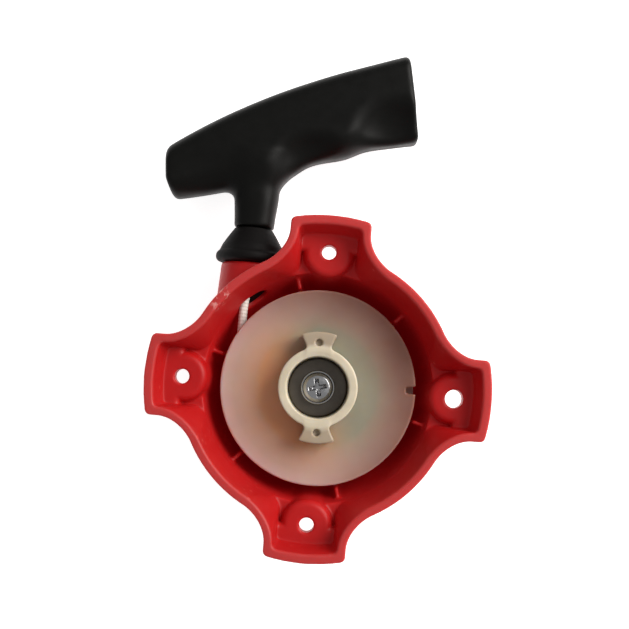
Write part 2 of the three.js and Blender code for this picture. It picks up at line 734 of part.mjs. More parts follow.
addPiece(
  'handle_bell',
  turnedOnRope([
    [SPIGOT_RADIUS + GAP, BELL_BOTTOM_Y],
    [BELL_RADIUS - 0.6, BELL_BOTTOM_Y],
    [BELL_RADIUS, BELL_BOTTOM_Y + 0.7],
    [BELL_RADIUS, BELL_BOTTOM_Y + 2],
    [BELL_RADIUS - 0.5, BELL_BOTTOM_Y + 3.6],
    [BELL_RADIUS - 1.5, BELL_BOTTOM_Y + 5.8],
    [BELL_RADIUS - 2.9, BELL_BOTTOM_Y + 8.1],
    [STEM_RADIUS + 0.6, BELL_TOP_Y - 0.8],
    [STEM_RADIUS, BELL_TOP_Y],
    [SPIGOT_RADIUS + GAP, BELL_TOP_Y],
    [SPIGOT_RADIUS + GAP, BELL_BOTTOM_Y],
  ]),
  blackRubber,
);

const lidSize = KNOT_POCKET_SIZE - 2 * GAP;
addPiece(
  'knot_cover',
  block(
    [lidSize, lidSize, 2],
    [ROPE_X, KNOT_POCKET_Y + KNOT_POCKET_SIZE / 2, GRIP_BACK_Z + 1.4],
  ),
  blackPlastic,
);

export default part;
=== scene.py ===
"""Looks of the recoil starter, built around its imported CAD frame.

Blender works in metres. The moulded shapes are worked out in millimetres, as distances to
their surfaces on a grid, then meshed and scaled.
"""
import math

import bpy
import numpy as np
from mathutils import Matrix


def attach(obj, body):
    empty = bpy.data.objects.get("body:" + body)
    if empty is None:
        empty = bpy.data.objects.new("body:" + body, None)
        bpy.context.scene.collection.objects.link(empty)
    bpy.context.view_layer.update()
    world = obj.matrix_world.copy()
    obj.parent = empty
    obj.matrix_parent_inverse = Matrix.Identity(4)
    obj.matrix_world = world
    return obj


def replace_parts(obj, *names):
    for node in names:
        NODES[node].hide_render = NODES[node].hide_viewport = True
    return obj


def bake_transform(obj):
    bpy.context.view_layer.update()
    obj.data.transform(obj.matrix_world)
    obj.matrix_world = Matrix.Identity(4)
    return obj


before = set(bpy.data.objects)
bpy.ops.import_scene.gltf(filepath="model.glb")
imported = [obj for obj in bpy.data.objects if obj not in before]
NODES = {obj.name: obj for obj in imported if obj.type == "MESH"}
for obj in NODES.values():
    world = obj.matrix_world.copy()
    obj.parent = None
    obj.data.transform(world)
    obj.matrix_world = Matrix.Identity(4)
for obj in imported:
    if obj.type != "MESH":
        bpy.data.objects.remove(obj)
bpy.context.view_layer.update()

import openvdb
from mathutils import Matrix, Vector

MM = 0.001

# ---- Dimensions, in mm, as in the CAD ----

RIM_Z = 35.0
FLOOR_Z = 3.0
BASE_R = 38.0
RIM_R = 46.0
WALL = 3.0
WALL_SLOPE = (RIM_R - BASE_R) / (RIM_Z - FLOOR_Z)
WALL_COS = 1 / math.hypot(1, WALL_SLOPE)
LUG_TIP = 58.0
LUG_HALF = 13.7
LUG_FILLET = 8.0
LUG_DRAFT = 0.09
LUG_UNDER_Z = 19.5
POCKET_Z = 22.0
POCKET_FILLET = 3.5
TIP_LEAN = 2.0
BOLT_R = 46.5
PAD_R = 8.2
PAD_FOOT_R = 11.6
PAD_FOOT_Z = 8.0
PAD_Z = 26.0
RIBS = (45, 105, 165, 225, 285, 345)
RIB_HALF = 0.65
RIB_TOP = 19
POST_R = 5.6
POST_TOP = 20.6
HOLE_R = 2.5
RIGHT_HOLE_R = 3.1
ROPE_X = -27.0
ROPE_Z = 17.35
ROPE_R = 1.5
SPOUT_R = 10.2
SPOUT_Y = 40.9
REEL_TURN = math.radians(3)
REEL_R = 33.6
REEL_LOW = 12.2
REEL_TOP = 22.7
FLANGE = 1.8
DRUM_R = 19.5
REEL_BORE = 12.3
HUB_RING = 13.4
HUB_CUP = 10.3
HUB_FLOOR = 20.0
HUB_TOP = 32.0
HEAD_TOP = 26.6
HEAD_LOW = 23.8
HEAD_R = 5.2
BELL_LOW_Y = 41.2
BELL_TOP_Y = 53.4
BELL_R = 12.2
STEM_R = 6.7
SPIGOT_R = 4.5
TAIL_END_Y = 79.7

# Where the looks follow the photo more closely than the CAD: sharper lug corners, the rope's
# mouth off the spout's centre, and the rope's run a little further from the reel's axis.
LUG_CORNER = 1.4
MOUTH_X = -25.0
MOUTH_Z = 15.4
MOUTH_R = 4.0
RUN_X = -28.2
PULL_X = (RUN_X + ROPE_X) / 2


# ---- Distance fields ----

class Field:
    """The grid of points, in mm, on which one shape's distances are worked out."""

    def __init__(self, low, high, step):
        self.low = np.array(low, float)
        self.step = step
        counts = [int(math.ceil((b - a) / step)) + 1 for a, b in zip(low, high)]
        axes = [np.float32(a) + np.arange(n, dtype=np.float32) * np.float32(step)
                for a, n in zip(low, counts)]
        self.x = axes[0][:, None, None]
        self.y = axes[1][None, :, None]
        self.z = axes[2][None, None, :]
        self.shape = tuple(counts)

    def turned(self, angle):
        """The x and y of the grid as a piece turned by angle about Z sees them."""
        c, s = math.cos(angle), math.sin(angle)
        return self.x * c + self.y * s, self.y * c - self.x * s


def round_join(a, b, k):
    """Both shapes, with a fillet of radius k where they meet."""
    near = np.hypot(np.maximum(k - a, 0), np.maximum(k - b, 0))
    return np.maximum(k, np.minimum(a, b)) - near


def round_both(a, b, k):
    """What is inside both shapes, with the edge rounded to radius k."""
    return -round_join(-a, -b, k)


def joined(*shapes):
    """What is inside any of the shapes."""
    out = shapes[0]
    for shape in shapes[1:]:
        out = np.minimum(out, shape)
    return out


def both(*shapes):
    """What is inside all the shapes."""
    out = shapes[0]
    for shape in shapes[1:]:
        out = np.maximum(out, shape)
    return out


def outline(u, v, corners):
    """Signed distance to a closed flat outline of (u, v) corners, negative inside."""
    nearest = None
    inside = None
    for i, (ax, ay) in enumerate(corners):
        bx, by = corners[i - 1]
        ex, ey = bx - ax, by - ay
        wx, wy = u - ax, v - ay
        t = np.clip((wx * ex + wy * ey) / (ex * ex + ey * ey), 0, 1)
        square = (wx - ex * t) ** 2 + (wy - ey * t) ** 2
        left = wy * ex > wx * ey
        crossed = ((v >= ay) & (v < by) & left) | ((v < ay) & (v >= by) & ~left)
        nearest = square if nearest is None else np.minimum(nearest, square)
        inside = crossed if inside is None else inside ^ crossed
    return np.where(inside, -1, 1) * np.sqrt(nearest)


def softened(distance, passes):
    """Small edges and corners rounded, by averaging each point with its neighbours."""
    out = distance.astype(np.float32)
    for _ in range(passes):
        for axis in range(3):
            edge = np.pad(out, [(1, 1) if a == axis else (0, 0) for a in range(3)], mode="edge")
            ahead = np.take(edge, range(2, edge.shape[axis]), axis=axis)
            behind = np.take(edge, range(0, edge.shape[axis] - 2), axis=axis)
            out = 0.5 * out + 0.25 * (ahead + behind)
    return out


def smooth_step(x, low, high):
    t = np.clip((x - low) / (high - low), 0, 1)
    return t * t * (3 - 2 * t)


def new_object(name, vertices, faces, material, smooth=True):
    mesh = bpy.data.meshes.new(name)
    mesh.from_pydata(vertices, [], faces)
    mesh.update()
    if smooth:
        mesh.shade_smooth()
    mesh.materials.append(material)
    piece = bpy.data.objects.new(name, mesh)
    bpy.context.scene.collection.objects.link(piece)
    return piece


def moulded(name, field, distance, passes, material):
    """The shape's surface as a mesh object, in metres."""
    distance = np.broadcast_to(distance, field.shape)
    distance = softened(distance, passes)
    band = 3 * field.step
    grid = openvdb.FloatGrid(band)
    grid.copyFromArray(np.clip(distance, -band, band))
    points, _, quads = grid.convertToPolygons(isovalue=0.0, adaptivity=0.0)
    points = (field.low + points * field.step) * MM
    return new_object(name, points, quads, material)


# ---- Materials ----

def coat(tree, **values):
    shader = tree.nodes["Principled BSDF"]
    for key, value in values.items():
        shader.inputs[key.replace("_", " ")].default_value = value
    return shader


class Look:
    """A material's node tree, with short ways to add what its surface shows."""

    def __init__(self, name, **values):
        self.material = bpy.data.materials.new(name)
        self.material.use_nodes = True
        self.tree = self.material.node_tree
        self.shader = coat(self.tree, **values)
        self.place = self.node("ShaderNodeTexCoord").outputs["Object"]

    def node(self, kind, **settings):
        made = self.tree.nodes.new(kind)
        for key, value in settings.items():
            setattr(made, key, value)
        return made

    def link(self, source, target):
        self.tree.links.new(source, target)

    def noise(self, scale, detail=3.0, roughness=0.55, stretch=None, distortion=0.0):
        """Noise whose grains are about 1 / scale metres across."""
        made = self.node("ShaderNodeTexNoise")
        made.inputs["Scale"].default_value = scale
        made.inputs["Detail"].default_value = detail
        made.inputs["Roughness"].default_value = roughness
        made.inputs["Distortion"].default_value = distortion
        where = self.place
        if stretch:
            mapping = self.node("ShaderNodeMapping")
            mapping.inputs["Scale"].default_value = stretch
            self.link(where, mapping.inputs["Vector"])
            where = mapping.outputs["Vector"]
        self.link(where, made.inputs["Vector"])
        return made.outputs["Fac"]

    def spread(self, source, low, high, out_low=0.0, out_high=1.0, smooth=False):
        made = self.node("ShaderNodeMapRange")
        if smooth:
            made.interpolation_type = "SMOOTHSTEP"
        ends = {"From Min": low, "From Max": high, "To Min": out_low, "To Max": out_high}
        for key, value in ends.items():
            made.inputs[key].default_value = value
        self.link(source, made.inputs["Value"])
        return made.outputs["Result"]

    def ramp(self, source, stops):
        """A colour for each place along source: stops of (place, (r, g, b))."""
        made = self.node("ShaderNodeValToRGB")
        elements = made.color_ramp.elements
        while len(elements) < len(stops):
            elements.new(0.5)
        for element, (place, colour) in zip(elements, stops):
            element.position = place
            element.color = (*colour, 1)
        self.link(source, made.inputs["Fac"])
        return made.outputs["Color"]

    def mixed(self, factor, a, b, blend="MIX"):
        made = self.node("ShaderNodeMix", data_type="RGBA", blend_type=blend)
        for socket, value in ((made.inputs[0], factor), (made.inputs[6], a), (made.inputs[7], b)):
            if isinstance(value, bpy.types.NodeSocket):
                self.link(value, socket)
            elif isinstance(value, tuple):
                socket.default_value = (*value, 1)
            else:
                socket.default_value = value
        return made.outputs[2]

    def sum(self, kind, a, b):
        made = self.node("ShaderNodeMath", operation=kind)
        for socket, value in zip(made.inputs, (a, b)):
            if isinstance(value, bpy.types.NodeSocket):
                self.link(value, socket)
            else:
                socket.default_value = value
        return made.outputs[0]

    def radius(self, centre=(0.0, 0.0, 0.0), flatten=(1.0, 1.0, 0.0)):
        """Distance from a point, in metres. The flattened axes don't count."""
        moved = self.node("ShaderNodeVectorMath", operation="SUBTRACT")
        moved.inputs[1].default_value = centre
        self.link(self.place, moved.inputs[0])
        scaled = self.node("ShaderNodeVectorMath", operation="MULTIPLY")
        scaled.inputs[1].default_value = flatten
        self.link(moved.outputs[0], scaled.inputs[0])
        length = self.node("ShaderNodeVectorMath", operation="LENGTH")
        self.link(scaled.outputs[0], length.inputs[0])
        return length.outputs["Value"]

    def bump(self, height, strength, distance=0.0002, after=None):
        made = self.node("ShaderNodeBump")
        made.inputs["Strength"].default_value = strength
        made.inputs["Distance"].default_value = distance
        self.link(height, made.inputs["Height"])
        if after is not None:
            self.link(after, made.inputs["Normal"])
        return made.outputs["Normal"]

    def wear(self, scale=160.0, keen=0.53):
        """1 along raised edges where the surface has been rubbed, 0 elsewhere."""
        pointed = self.node("ShaderNodeNewGeometry").outputs["Pointiness"]
        edge = self.spread(pointed, keen, keen + 0.05, smooth=True)
        broken = self.spread(self.noise(scale, 4.0, 0.7), 0.42, 0.62, smooth=True)
        return self.sum("MULTIPLY", edge, broken)

    def finish(self, colour, rough=None, normal=None):
        self.link(colour, self.shader.inputs["Base Color"])
        if rough is not None:
            self.link(rough, self.shader.inputs["Roughness"])
        if normal is not None:
            self.link(normal, self.shader.inputs["Normal"])
        return self.material


def red_plastic():
    look = Look("red_plastic", IOR=1.5, Specular_IOR_Level=0.20,
                Subsurface_Weight=0.35, Subsurface_Scale=0.004)
    look.shader.inputs["Subsurface Radius"].default_value = (1.0, 0.04, 0.03)
    # Painted glow: a faint red emission stands in for light through the thin walls and keeps the shadows
    # red.
    look.shader.inputs["Emission Color"].default_value = (1.0, 0.0, 0.01, 1)
    look.shader.inputs["Emission Strength"].default_value = 0.03
    base = look.ramp(look.noise(28, 4.0), [
        (0.3, (0.395, 0.0065, 0.0070)), (0.7, (0.475, 0.0140, 0.0140)),
    ])
    wear_and_painted_rim_sheen = look.mixed(look.sum("MULTIPLY", look.wear(140, 0.515), 0.35), base, (0.68, 0.12, 0.10))
    # The rim's top face is painted duller and paler than the walls: a painted sheen on the upward face.
    height = look.node("ShaderNodeSeparateXYZ")
    look.link(look.place, height.inputs[0])
    rim = look.spread(height.outputs["Z"], 0.0338, 0.0349, 0.0, 0.38, True)
    wear_and_painted_rim_sheen = look.mixed(rim, wear_and_painted_rim_sheen, (0.49, 0.088, 0.084))
    # Pale scuffs on the rim beside the rope's outlet.
    from_scuffs = look.radius((-0.0352, 0.0272, 0.035), (1.0, 1.0, 1.0))
    near = look.spread(from_scuffs, 0.0010, 0.0058, 1.0, 0.0, True)
    scratch = look.spread(look.noise(480, 5.0, 0.72), 0.49, 0.62, smooth=True)
    scuffs = look.sum("MULTIPLY", near, scratch)
    colour = look.mixed(look.sum("MULTIPLY", scuffs, 0.8), wear_and_painted_rim_sheen, (0.80, 0.44, 0.40))
    rough = look.spread(look.noise(120, 4.0, 0.65), 0.3, 0.7, 0.33, 0.47)
    fine = look.bump(look.noise(2600, 2.0), 0.12, 0.00008)
    broad = look.bump(look.noise(75, 2.0), 0.10, 0.0006, fine)
    return look.finish(colour, rough, broad)


def nylon():
    """Natural nylon: greyer over the drum, pinker outside it where the red bowl shows through.

    The left side is painted brown as the hub's warm shade; the upper right is painted dark as the rim's
    shade.
    """
    look = Look("nylon", IOR=1.5, Specular_IOR_Level=0.3,
                Subsurface_Weight=1.0, Subsurface_Scale=0.006)
    look.shader.inputs["Subsurface Radius"].default_value = (1.0, 0.42, 0.22)
    place = look.spread(look.radius(), 0.0, REEL_R * MM)
    grey, sand, pink, edge = (0.30, 0.29, 0.215), (0.36, 0.29, 0.22), (0.42, 0.29, 0.24), (0.62, 0.40, 0.37)
    clear = look.ramp(place, [
        (0.40, grey), (0.60, grey), (0.66, sand), (0.84, pink), (0.972, pink), (0.992, edge),
    ])
    # Painted shade: these brown tones stand for the hub's shade warmed by red bounce light, laid on the left
    # side.
    brown, clay, rose = (0.66, 0.31, 0.150), (0.60, 0.32, 0.205), (0.54, 0.345, 0.275)
    tinted_tones = look.ramp(place, [
        (0.40, brown), (0.60, brown), (0.66, clay), (0.86, rose), (0.992, edge),
    ])
    # Mask of the painted shade side: 1 towards the lower left, 0 towards the upper right.
    across = look.node("ShaderNodeVectorMath", operation="DOT_PRODUCT")
    across.inputs[1].default_value = (0.90, 0.43, 0.0)
    look.link(look.place, across.inputs[0])
    painted_shade_side_mask = look.spread(across.outputs["Value"], -0.016, 0.009, 1.0, 0.0, True)
    with_painted_shade_side = look.mixed(painted_shade_side_mask, clear, tinted_tones)
    # Painted shade: darker towards the upper right, as the rim's shadow on the reel.
    shade = look.spread(look.radius((-0.009, -0.007, 0.0)), 0.024, 0.044, 0.0, 0.85, True)
    base = look.mixed(shade, with_painted_shade_side, (0.17, 0.050, 0.028))
    patches = look.ramp(look.noise(55, 3.0), [(0.35, (0.25, 0.17, 0.12)), (0.65, (0.55, 0.45, 0.38))])
    cloud = look.mixed(0.10, base, patches)
    rough = look.spread(look.noise(300, 3.0), 0.3, 0.7, 0.36, 0.50)
    normal = look.bump(look.noise(1800, 2.0), 0.10, 0.00006)
    return look.finish(cloud, rough, normal)


def cream_plastic():
    look = Look("cream_plastic", IOR=1.5, Specular_IOR_Level=0.35,
                Subsurface_Weight=0.5, Subsurface_Scale=0.002)
    look.shader.inputs["Subsurface Radius"].default_value = (1.0, 0.75, 0.4)
    base = look.ramp(look.noise(90, 3.0), [(0.3, (0.56, 0.49, 0.36)), (0.7, (0.66, 0.59, 0.46))])
    from_stain = look.radius((-0.004, -0.0185, 0.032), (1.0, 1.0, 1.0))
    stain = look.spread(from_stain, 0.001, 0.006, 0.45, 0.0, True)
    ears = look.spread(look.radius(), 0.0132, 0.0152, 0.0, 0.85, True)
    tinted_tones = look.mixed(stain, base, (0.55, 0.27, 0.11))
    colour = look.mixed(ears, tinted_tones, (0.36, 0.28, 0.20))
    rough = look.spread(look.noise(400, 3.0), 0.3, 0.7, 0.28, 0.42)
    normal = look.bump(look.noise(1500, 2.0), 0.08, 0.00006)
    return look.finish(colour, rough, normal)


def black_plastic(name, rough_low, rough_high, tone):
    look = Look(name, IOR=1.5, Specular_IOR_Level=0.13)
    base = look.ramp(look.noise(60, 4.0), [(0.3, tuple(t * 0.8 for t in tone)), (0.7, tone)])
    dust = look.spread(look.noise(3800, 2.0, 0.5), 0.70, 0.76, 0.0, 0.30, True)
    colour = look.mixed(dust, base, (0.05, 0.05, 0.047))
    rough = look.spread(look.noise(220, 4.0, 0.65), 0.3, 0.7, rough_low, rough_high)
    normal = look.bump(look.noise(3200, 2.0), 0.20, 0.00008)
    return look.finish(colour, rough, normal)


def metal(name, colour, rough_low, rough_high, stretch=(1.0, 1.0, 1.0), scratch=0.06):
    look = Look(name, Metallic=1.0)
    base = look.ramp(look.noise(240, 4.0), [(0.3, tuple(c * 0.82 for c in colour)), (0.7, colour)])
    rough = look.spread(look.noise(700, 4.0, 0.7, stretch), 0.3, 0.7, rough_low, rough_high)
    normal = look.bump(look.noise(1400, 3.0, 0.6, stretch), scratch, 0.00005)
    return look.finish(base, rough, normal)


def fibre():
    look = Look("fibre", IOR=1.45)
    base = look.ramp(look.noise(700, 4.0), [(0.3, (0.20, 0.06, 0.03)), (0.7, (0.34, 0.12, 0.06))])
    rough = look.spread(look.noise(500), 0.3, 0.7, 0.6, 0.85)
    return look.finish(base, rough, look.bump(look.noise(2500), 0.2))


def rope_fibre():
    """Braided cord. The strands' height is stored on the mesh, so their grooves can be painted darker, as
    shade between strands.
    """
    look = Look("rope_fibre", IOR=1.45, Sheen_Weight=0.25)
    strand = look.node("ShaderNodeAttribute", attribute_name="strand").outputs["Fac"]
    tint = look.node("ShaderNodeAttribute", attribute_name="tint").outputs["Fac"]
    # Painted shade: the low grooves between the strands take the darker colours.
    base = look.ramp(strand, [
        (0.02, (0.46, 0.37, 0.32)), (0.4, (0.78, 0.70, 0.63)), (0.95, (0.93, 0.88, 0.83)),
    ])
    colour = look.mixed(look.sum("MULTIPLY", tint, 0.35), base, (0.55, 0.46, 0.40))
    rough = look.spread(strand, 0.0, 1.0, 0.95, 0.75)
    normal = look.bump(look.noise(9000, 2.0, 0.6), 0.35, 0.00005)
    return look.finish(colour, rough, normal)


RED = red_plastic()
NYLON = nylon()
CREAM = cream_plastic()
GRIP = black_plastic("grip_plastic", 0.36, 0.50, (0.0036, 0.0036, 0.0030))
RUBBER = black_plastic("black_rubber", 0.50, 0.68, (0.0045, 0.0036, 0.0034))
STEEL = metal("zinc_steel", (0.46, 0.46, 0.47), 0.14, 0.30)
DARK_STEEL = metal("washer_steel", (0.13, 0.115, 0.098), 0.34, 0.50)
SHEET_STEEL = metal("sheet_steel", (0.48, 0.48, 0.49), 0.3, 0.5, (6.0, 1.0, 1.0))
SPRING_STEEL = metal("spring_steel", (0.16, 0.17, 0.21), 0.25, 0.4, (1.0, 1.0, 8.0))
BRASS = metal("brass", (0.66, 0.47, 0.20), 0.25, 0.4)
FIBRE = fibre()
ROPE = rope_fibre()


# ---- Housing ----

def housing_shape(f):
    x, y, z = f.x, f.y, f.z
    r = np.hypot(x, y)
    ax, ay = np.abs(x), np.abs(y)
    along, across = np.maximum(ax, ay), np.minimum(ax, ay)
    wall = (r - (BASE_R + (z - FLOOR_Z) * WALL_SLOPE)) * WALL_COS

    outside = outline(r, z, [
        (-90, 0), (25, 0), (25.8, 0.8), (28.2, 0.8), (29, 0), (35, 0), (36.6, 0.6),
        (37.6, 1.8), (BASE_R, FLOOR_Z), (RIM_R, RIM_Z), (-90, RIM_Z),
    ])
    below = LUG_DRAFT * (RIM_Z - z)
    lug = round_both(across - (LUG_HALF - below), r - (LUG_TIP - below), LUG_CORNER)
    lugs = both(round_join(wall, lug, LUG_FILLET), LUG_UNDER_Z - z, z - RIM_Z)
    rod = np.hypot(x - ROPE_X, z - ROPE_Z)
    spout = both(round_both(rod - SPOUT_R - 0.05 * (SPOUT_Y - y), y - SPOUT_Y, 0.8), 18 - y)
    envelope = round_join(joined(outside, lugs), spout, 2.0)

    bowl = outline(r, z, [
        (-90, FLOOR_Z), (33.4, FLOOR_Z), (34.6, 3.5), (35, 4.4),
        (BASE_R + 37 * WALL_SLOPE - WALL, 40), (-90, 40),
    ])
    lean = TIP_LEAN * (RIM_Z + 1 - z) / (RIM_Z + 1 - POCKET_Z)
    inner = round_both(across - (LUG_HALF - below - WALL), r - (LUG_TIP - below - WALL - lean), 1.4)
    deep = np.clip((z - POCKET_Z) / (RIM_Z - POCKET_Z), 0, 1.2)
    fillet = POCKET_FILLET + deep * (LUG_FILLET + WALL - POCKET_FILLET)
    pockets = both(round_join(wall + WALL, inner, fillet), POCKET_Z - z)
    shell = round_both(envelope, -joined(bowl, pockets), 0.5)

    fall = (PAD_FOOT_R - PAD_R) / (PAD_Z - PAD_FOOT_Z)
    boss = (np.hypot(along - BOLT_R, across) - (PAD_R + (PAD_Z - z) * fall)) / math.hypot(1, fall)
    pads = both(round_both(joined(boss, BOLT_R - along), z - PAD_Z, 1.8), envelope)
    solid = round_join(shell, pads, 0.6)
    for degrees in RIBS:
        a = math.radians(degrees)
        out = x * math.cos(a) + y * math.sin(a)
        side = np.abs(y * math.cos(a) - x * math.sin(a)) - RIB_HALF
        rib = both(side, 34.6 - out, out - 41, z - RIB_TOP, outside)
        solid = round_join(solid, rib, 0.8)
    solid = joined(solid, both(r - POST_R, z - POST_TOP, 2 - z))

    hole = np.hypot(along - BOLT_R, across) - np.where(x > ay, RIGHT_HOLE_R, HOLE_R)
    spot = both(np.hypot(along - BOLT_R, across) - 5.8, z - LUG_UNDER_Z, 10 - z)
    socket = both(r - 3.9, 7 - z)
    pull = np.hypot(x - PULL_X, z - ROPE_Z) - 2.5
    mouth = round_join(np.hypot(x - MOUTH_X, z - MOUTH_Z) - MOUTH_R, pull, 0.8)
    rope_way = joined(both(rod - 4.5, 33.8 - y), both(mouth, 15 - y, y - 35))
    return both(solid, -hole, -spot, -socket, -rope_way)


field = Field((-60, -60, -1.6), (60, 60, 36.8), 0.42)
housing = moulded("housing_shell", field, housing_shape(field), 1, RED)
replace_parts(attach(housing, "case"), "housing")


# ---- Reel and drive hub ----

def reel_shape(f):
    x, y = f.turned(REEL_TURN)
    z = f.z
    r = np.hypot(x, y)
    low, top = REEL_LOW, REEL_TOP
    body = outline(r, z, [
        (7.3, 5), (10.2, 5), (10.2, low - 1), (REEL_BORE, low - 1), (REEL_BORE, low),
        (13.9, low), (13.9, top - 3), (17.8, top - 3), (17.8, low), (REEL_R, low),
        (REEL_R, low + 1.4), (DRUM_R, low + FLANGE), (DRUM_R, top - FLANGE), (REEL_R, top - 1.4),
        (REEL_R, top), (REEL_BORE, top), (REEL_BORE, low + 0.1), (7.3, low + 0.1),
    ])
    notch = both(round_both(np.abs(y) - 1.2, 30.2 - x, 0.9), top - FLANGE - 1 - z)
    hook = both(np.abs(y) - 0.7, 8.6 - x, 4 - z, z - (low - 1))
    return both(body, -notch, -hook)


field = Field((-35.4, -35.4, 3.6), (35.4, 35.4, 24.4), 0.36)
reel = moulded("rope_reel", field, reel_shape(field), 1, NYLON)
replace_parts(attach(reel, "reel"), "reel")


def hub_shape(f):
    x, y = f.turned(REEL_TURN)
    z = f.z
    r = np.hypot(x, y)
    base = REEL_LOW + 0.4
    under = REEL_TOP + 0.3
    body = outline(r, z, [
        (7, base), (REEL_BORE - 0.3, base), (REEL_BORE - 0.3, under), (HUB_RING, under), (HUB_RING, HUB_TOP),
        (HUB_CUP + 0.1, HUB_TOP), (HUB_CUP, HUB_FLOOR), (7, HUB_FLOOR),
    ])
    ay = np.abs(y)
    # Each ear is narrowest at the ring and flares to a curved tip.
    half = 4.25 + 2.3 * np.clip((ay - 13.7) / 4.8, 0, 1) ** 1.2
    ear = round_both((np.abs(x) - half) * 0.88, r - 18.7, 0.3)
    ear = both(ear, under - z, z - HUB_TOP, HUB_RING - 1.5 - r)
    solid = round_join(body, ear, 0.7)
    # The cup is open above its floor, across the roots of the ears too.
    solid = both(solid, HUB_CUP - 0.02 - r - 100 * (z < HUB_FLOOR))
    hole = both(np.hypot(x, ay - 15.05) - 1.2, HUB_TOP - 2 - z)
    return both(solid, -hole)


field = Field((-15, -20.4, 11), (15, 20.4, 33.6), 0.25)
hub = moulded("hub_ring", field, hub_shape(field), 2, CREAM)
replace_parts(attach(hub, "reel"), "drive_hub")


# ---- Screw and washers ----

SCREW_TURN = math.radians(14)


def screw_shape(f):
    x, y = f.turned(SCREW_TURN)
    z = f.z
    r = np.hypot(x, y)
    head = outline(r, z, [
        (-20, HEAD_LOW), (HEAD_R - 0.3, HEAD_LOW), (HEAD_R, HEAD_LOW + 0.4), (HEAD_R, HEAD_LOW + 1.3),
        (HEAD_R - 0.35, HEAD_TOP - 0.8), (HEAD_R - 1.3, HEAD_TOP - 0.25), (HEAD_R - 2.8, HEAD_TOP),
        (-20, HEAD_TOP),
    ])
    deep = HEAD_TOP - z
    arm = 0.72 - 0.17 * deep
    reach = 3.3 - 0.75 * deep
    ax, ay = np.abs(x), np.abs(y)
    middle = (ax + ay) * 0.707 - 1.25 + 0.3 * deep
    cross = joined(both(ax - reach, ay - arm), both(ay - reach, ax - arm), middle)
    head = both(head, -both(cross, deep - 1.9))
    shank = both(r - 2.2, z - HEAD_LOW - 0.2, 10 - z)
    return joined(head, shank)


field = Field((-6, -6, 9.4), (6, 6, 27.4), 0.12)
screw = moulded("pan_screw", field, screw_shape(field), 1, STEEL)
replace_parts(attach(screw, "case"), "centre_screw")


def ring_piece(name, corners, material, body, node, step=0.2, passes=1):
    """A closed profile of (radius, z) corners turned about the reel's axis."""
    radius = max(u for u, v in corners) + 1
    levels = [v for u, v in corners]
    f = Field((-radius, -radius, min(levels) - 0.8), (radius, radius, max(levels) + 0.8), step)
    made = moulded(name, f, outline(np.hypot(f.x, f.y), f.z, corners), passes, material)
    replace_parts(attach(made, body), node)


ring_piece("stop_washer", [(2.6, 21.2), (10, 21.2), (10, 22.4), (2.6, 22.4)], DARK_STEEL, "case",
           "retaining_washer")
ring_piece("spring_washer", [(2.7, 22.7), (5.8, 22.7), (5.8, 23.5), (2.7, 23.5)], STEEL, "case",
           "lock_washer", 0.16)


# ---- Rope ----

STRANDS = 16
BRAID_PITCH = 10.0


def rope_piece(name, path, material, step=0.3, sides=32):
    """A braided cord along a path of points in mm, with strands that cross over each other."""
    path = np.array(path, float)
    lengths = np.concatenate([[0], np.cumsum(np.linalg.norm(np.diff(path, axis=0), axis=1))])
    count = int(lengths[-1] / step) + 1
    at = np.linspace(0, lengths[-1], count)
    centre = np.stack([np.interp(at, lengths, path[:, i]) for i in range(3)], axis=1)
    along = np.gradient(centre, axis=0)
    along /= np.linalg.norm(along, axis=1)[:, None]
    up = np.zeros_like(centre)
    side = np.cross(along[0], (0, 0, 1.0))
    for i in range(count):
        side = side - along[i] * (side @ along[i])
        side /= np.linalg.norm(side)
        up[i] = side
    over = np.cross(along, up)
    turn = np.linspace(0, 2 * math.pi, sides, endpoint=False)[None, :]
    way = (2 * math.pi * at / BRAID_PITCH)[:, None]
    left = STRANDS / 2 * turn + way * STRANDS / 4
    right = STRANDS / 2 * turn - way * STRANDS / 4
    strand = 0.5 + 0.5 * np.sin(left) * np.sin(right)
    strand = np.clip(strand, 0, 1)
    radius = ROPE_R - 0.13 + 0.13 * strand
    ends = np.minimum(1, np.minimum(at, lengths[-1] - at) / 0.6)[:, None]
    radius = radius * np.sqrt(np.clip(1 - (1 - ends) ** 2, 0.02, 1))
    points = centre[:, None, :] + radius[..., None] * (
        np.cos(turn)[..., None] * up[:, None, :] + np.sin(turn)[..., None] * over[:, None, :])
    vertices = points.reshape(-1, 3) * MM
    ring = np.arange(sides)
    quads = []
    for i in range(count - 1):
        a = i * sides + ring
        b = i * sides + (ring + 1) % sides
        quads.append(np.stack([a, b, b + sides, a + sides], axis=1))
    faces = np.concatenate(quads).tolist()
    faces.append(list(ring[::-1]))
    faces.append(list((count - 1) * sides + ring))
    made = new_object(name, vertices, faces, material)
    store_values(made, "strand", strand.ravel())
    tint = 0.5 + 0.5 * np.sin(left * 0.5 + 1.0)
    store_values(made, "tint", (tint > 0.85).astype(float).ravel())
    return made


def store_values(piece, name, values):
    attribute = piece.data.attributes.new(name, "FLOAT", "POINT")
    attribute.data.foreach_set("value", np.asarray(values, np.float32))


def circle_point(radius, degrees, z):
    a = math.radians(degrees)
    return (radius * math.cos(a), radius * math.sin(a), z)


run_path = [circle_point(-ROPE_X + 1.2 * smooth_step(270 - a, 0, 80), a, ROPE_Z)
            for a in range(270, 180, -4)]
run_path += [(RUN_X + (ROPE_X - RUN_X) * smooth_step(y, 24, 38), y, ROPE_Z)
             for y in range(0, 42, 2)]
run_path += [(ROPE_X, 47.4, ROPE_Z)]
rope_run = rope_piece("rope_run_out", run_path, ROPE, 0.25)
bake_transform(rope_run)
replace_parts(rope_run, "rope_run")

tail_path = [(ROPE_X, y, ROPE_Z) for y in (47.0, 60, 70, TAIL_END_Y - 0.1)]
rope_tail = rope_piece("rope_in_handle", tail_path, ROPE, 0.3)
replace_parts(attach(rope_tail, "rope_end"), "rope_tail")

